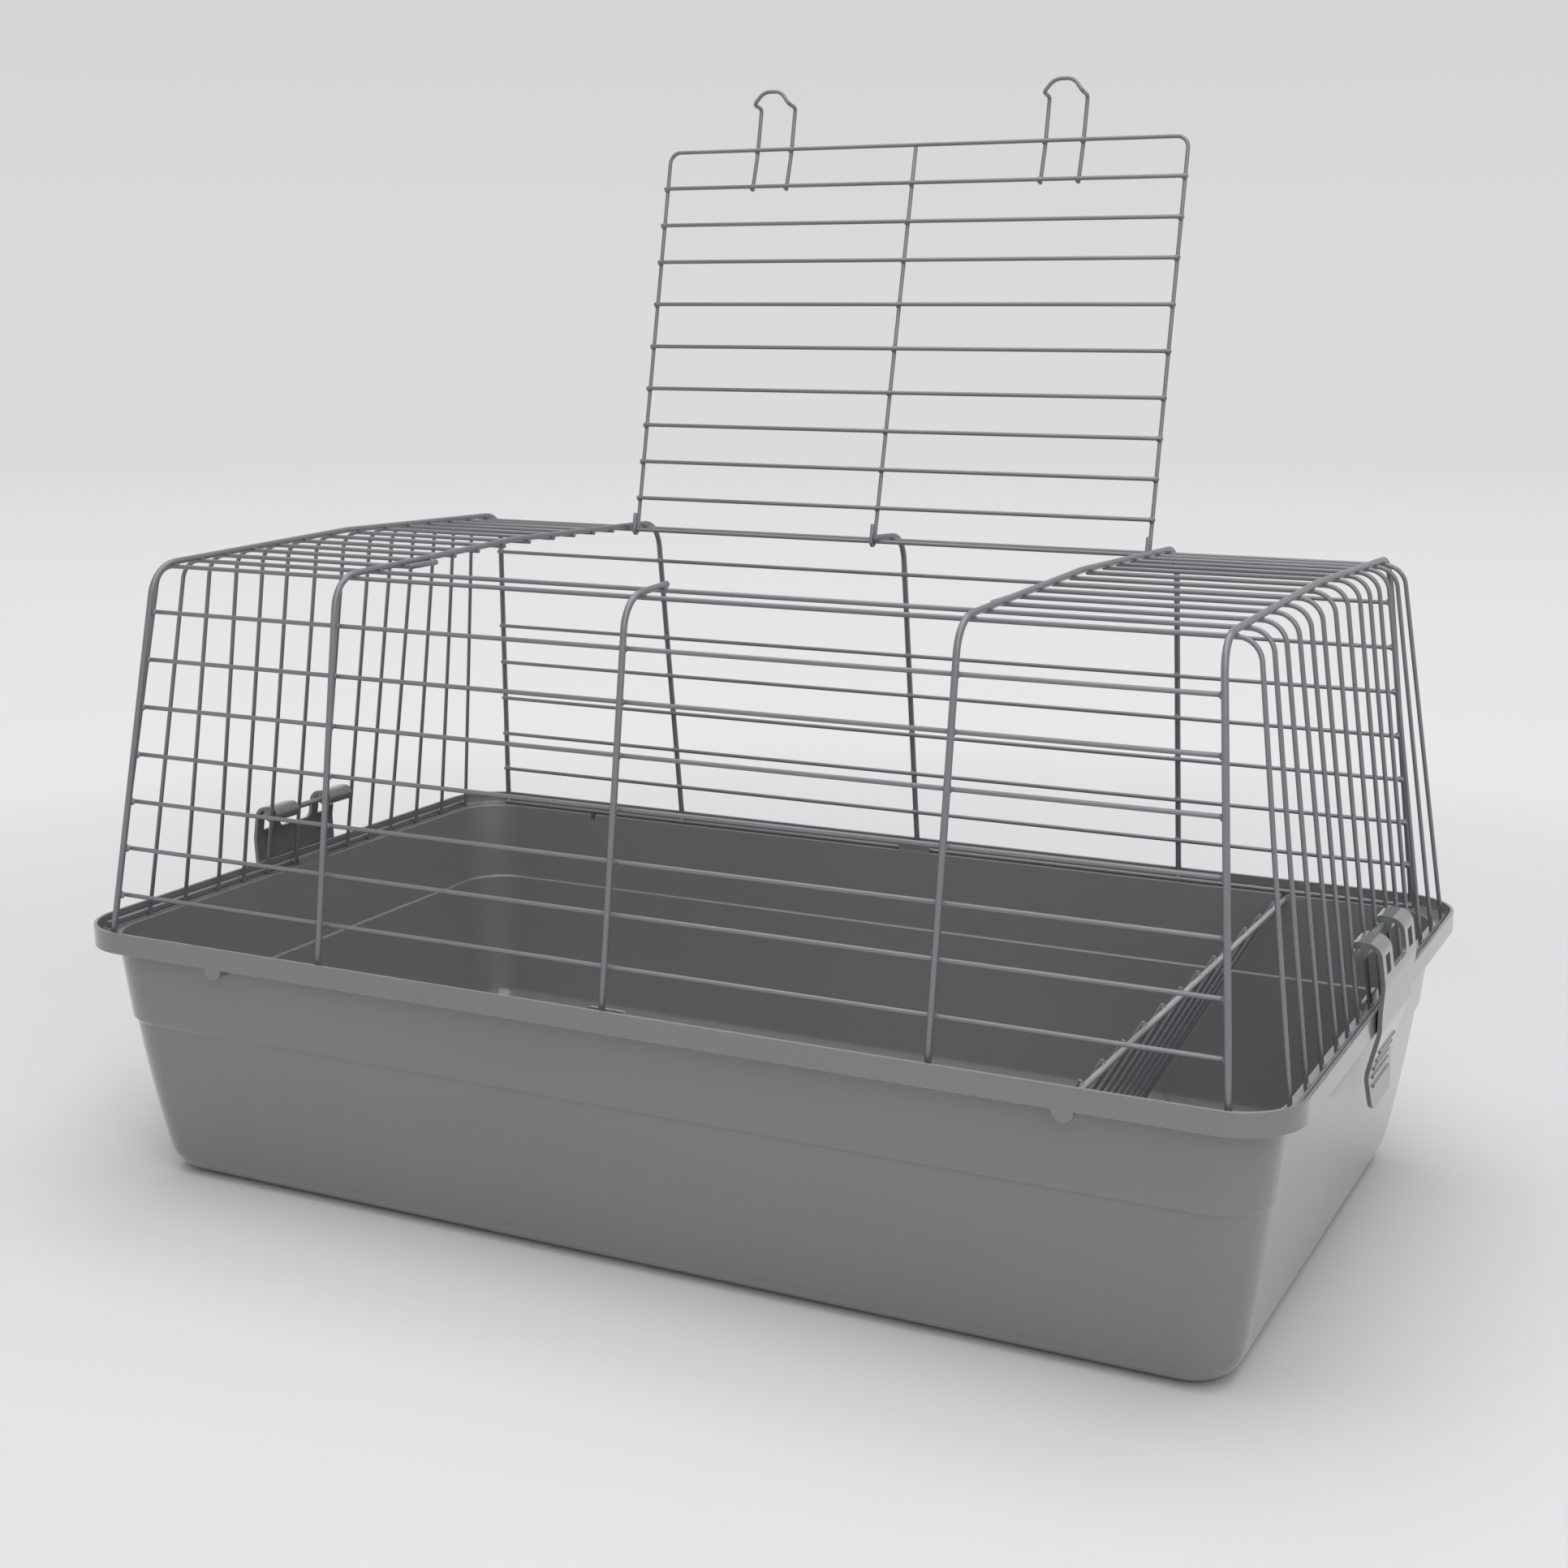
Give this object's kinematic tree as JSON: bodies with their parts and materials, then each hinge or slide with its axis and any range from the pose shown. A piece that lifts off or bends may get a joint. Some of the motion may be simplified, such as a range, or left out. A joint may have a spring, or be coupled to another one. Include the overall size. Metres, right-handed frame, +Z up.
{
  "type": "small animal cage",
  "caption": "Wire-topped small animal cage on a deep moulded tray, with a hooked roof door standing open, snap latches at both ends and a leaning wire rack inside.",
  "frame": {"origin": "middle of the tray's flat underside", "axes": "+X along the length towards the end with the rack, +Y from front to back towards the door's hinge rail, +Z up"},
  "size_m": [0.8098, 0.474, 0.7203],
  "materials": {
    "tray_plastic": "moulded satin grey",
    "wire_paint": "satin grey coating",
    "rack_paint": "satin grey coating",
    "latch_plastic": "moulded satin green-grey"
  },
  "bodies": {
    "cage": {"tray": "tray_plastic", "hoop_far_left": "wire_paint", "hoop_left": "wire_paint", "hoop_right": "wire_paint", "hoop_far_right": "wire_paint", "middle_front_upright": "wire_paint", "middle_rear_upright": "wire_paint", "front_rows": "wire_paint", "rear_rows": "wire_paint", "front_bottom_wire": "wire_paint", "rear_bottom_wire": "wire_paint", "front_edge_wire": "wire_paint", "front_rail": "wire_paint", "hinge_rail": "wire_paint", "rear_edge_wire": "wire_paint", "left_roof_wires": "wire_paint", "right_roof_wires": "wire_paint", "left_foot_wire": "wire_paint", "right_foot_wire": "wire_paint", "left_latch_bar": "wire_paint", "right_latch_bar": "wire_paint", "left_door_rest": "wire_paint", "right_door_rest": "wire_paint"},
    "door": {"door_frame": "wire_paint", "door_centre_wire": "wire_paint", "door_rows": "wire_paint", "left_door_loop": "wire_paint", "right_door_loop": "wire_paint"},
    "left_latch": {"left_latch": "latch_plastic"},
    "right_latch": {"right_latch": "latch_plastic"},
    "rack": {"rack_rail": "rack_paint", "rack_foot_wire": "rack_paint", "rack_wires": "rack_paint"}
  },
  "joints": [
    {"name": "door_hinge", "type": "hinge", "parent": "cage", "child": "door", "pos_m": [0, 0.1525, 0.40662], "axis": [1, 0, 0], "range_deg": [0, 101.3]},
    {"name": "left_latch_hinge", "type": "hinge", "parent": "cage", "child": "left_latch", "pos_m": [-0.38889, 0, 0.2105], "axis": [0, 1, 0], "range_deg": [0, 110]},
    {"name": "right_latch_hinge", "type": "hinge", "parent": "cage", "child": "right_latch", "pos_m": [0.38889, 0, 0.2105], "axis": [0, -1, 0], "range_deg": [0, 110]},
    {"name": "rack_hinge", "type": "hinge", "parent": "cage", "child": "rack", "pos_m": [0.281, 0, 0.163], "axis": [0, 1, 0], "range_deg": [0, 90]}
  ]
}
